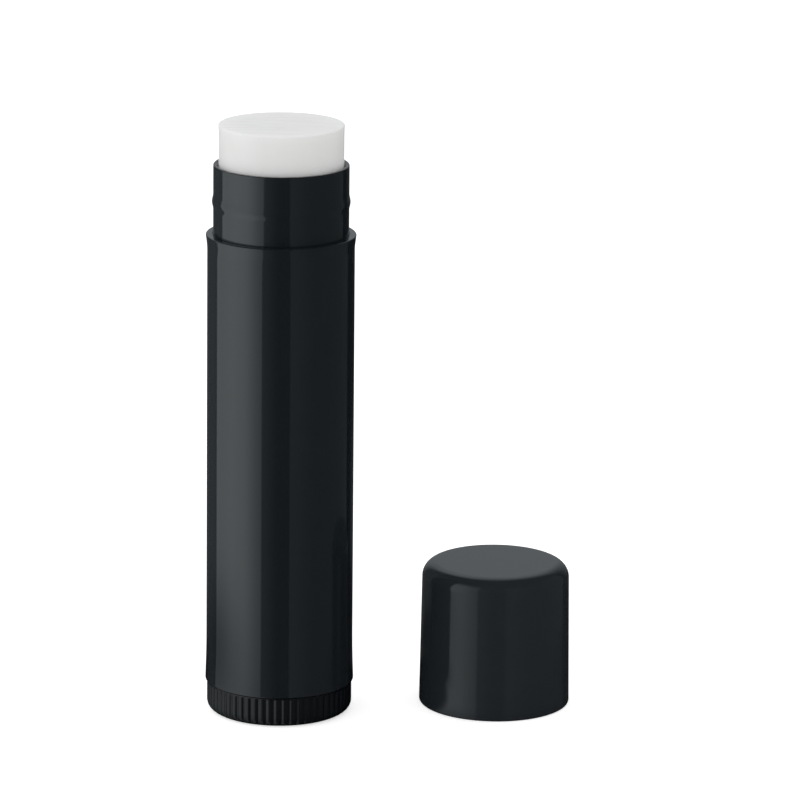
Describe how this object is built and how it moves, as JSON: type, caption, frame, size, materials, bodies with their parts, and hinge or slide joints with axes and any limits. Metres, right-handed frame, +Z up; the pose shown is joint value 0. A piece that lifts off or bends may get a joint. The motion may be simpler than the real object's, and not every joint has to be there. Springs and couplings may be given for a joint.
{
  "type": "lip balm stick",
  "caption": "Upright twist-up lip balm stick, balm slightly raised from a cylindrical tube over a knurled wheel, with its round cap standing beside it.",
  "frame": {"origin": "middle of the flat underside of the wheel, on the tube's axis, at the height the stick stands on", "axes": "+Z up the tube's axis towards the balm, +X towards the cap that stands beside the stick, +Y away from the viewer"},
  "size_m": [0.0395, 0.0194, 0.0643],
  "materials": {
    "tube_black": "glossy moulded black",
    "wheel_black": "glossy moulded black, fine upright grooves",
    "cap_black": "glossy moulded black",
    "screw_black": "plain moulded black",
    "elevator_natural": "natural moulded white",
    "balm_white": "smooth cast wax"
  },
  "bodies": {
    "barrel": {"barrel_tube": "tube_black"},
    "wheel": {"base_wheel": "wheel_black", "feed_screw": "screw_black"},
    "carrier": {"elevator_cup": "elevator_natural", "balm_stick": "balm_white"},
    "cap": {"cap": "cap_black"}
  },
  "joints": [
    {"name": "wheel_turn", "type": "hinge", "parent": "barrel", "child": "wheel", "pos_m": [0, 0, 0], "axis": [0, 0, 1], "range_deg": [-432, 3168]},
    {"name": "balm_rise", "type": "slide", "parent": "barrel", "child": "carrier", "axis": [0, 0, 1], "range_m": [-0.0048, 0.0352]},
    {"name": "cap_lift", "type": "slide", "parent": "barrel", "child": "cap", "axis": [0, 0, 1], "range_m": [0, 0.0665]}
  ],
  "couplings": [
    {"joint": "wheel_turn", "follows": "balm_rise", "rad_per_m": 1570.8}
  ]
}
